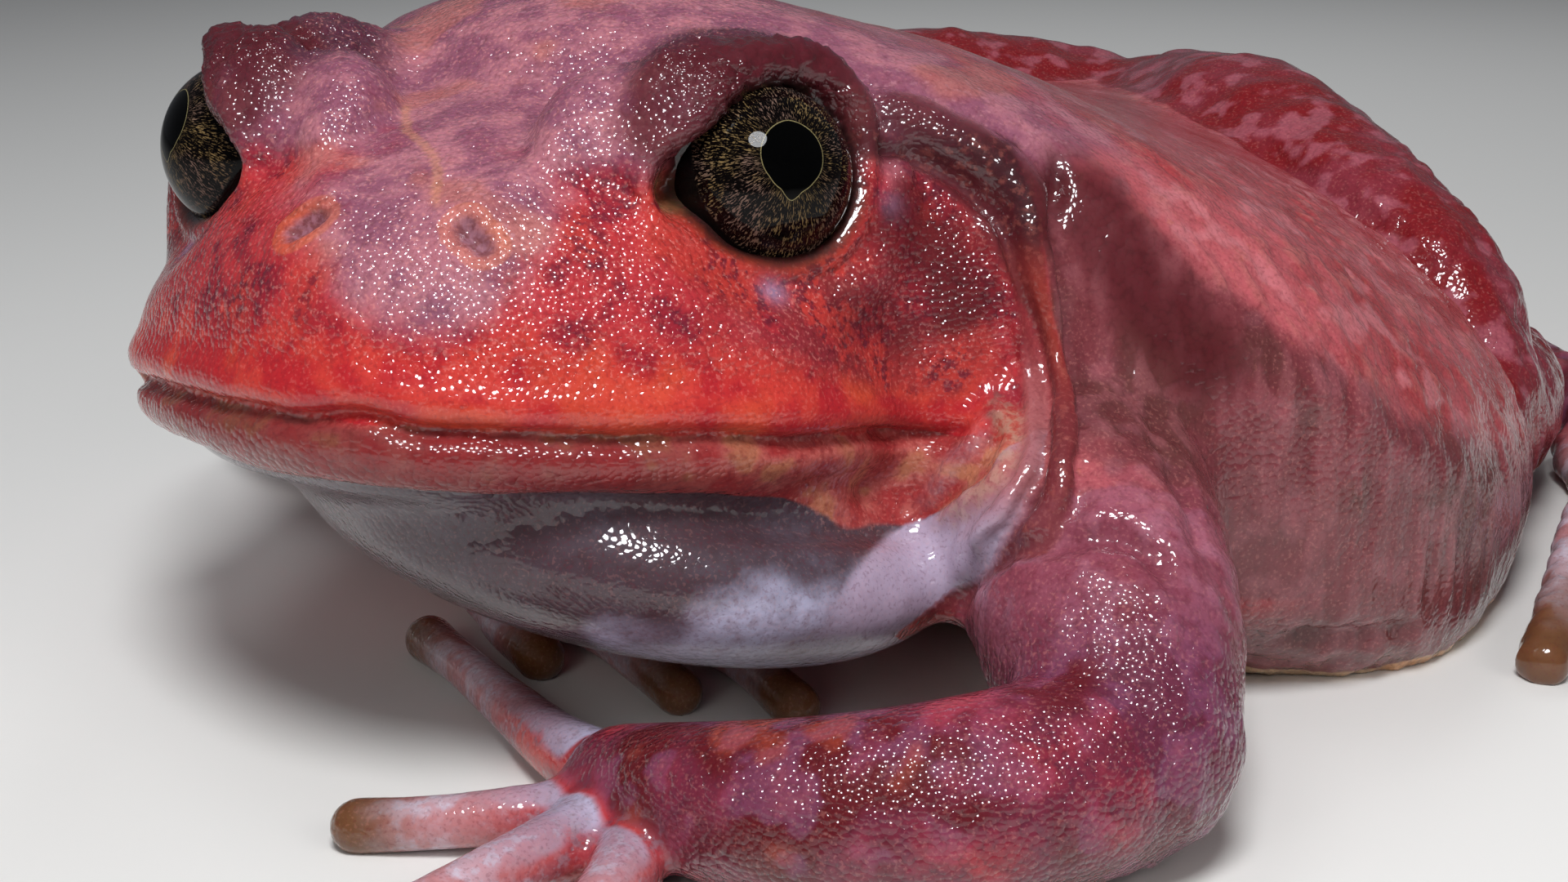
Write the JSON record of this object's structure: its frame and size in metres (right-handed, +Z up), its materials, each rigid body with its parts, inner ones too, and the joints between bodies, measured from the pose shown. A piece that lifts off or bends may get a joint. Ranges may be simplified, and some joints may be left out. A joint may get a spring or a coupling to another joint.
{
  "type": "tomato frog",
  "caption": "Still, life-size tomato frog sitting low with its chest raised, its head turned to its left, one hand spread ahead and the other tucked under the throat.",
  "frame": {"origin": "middle of the model's box at floor level, under the belly", "axes": "+Z up; -Y is where the body faces, with the head turned from there towards +X; +X is the frog's left"},
  "size_m": [0.0934, 0.0944, 0.0291],
  "materials": {
    "skin": "wet, granular living skin with a thin glossy film",
    "eye": "polished clear cornea over a very dark iris"
  },
  "bodies": {
    "root": {"head": "skin", "torso": "skin", "upper_arm_left": "skin", "upper_arm_right": "skin", "forearm_left": "skin", "forearm_right": "skin", "hand_left": "skin", "hand_right": "skin", "thigh_left": "skin", "thigh_right": "skin", "shank_left": "skin", "shank_right": "skin", "foot_left": "skin", "foot_right": "skin", "eye_left": "eye", "eye_right": "eye"}
  },
  "joints": []
}
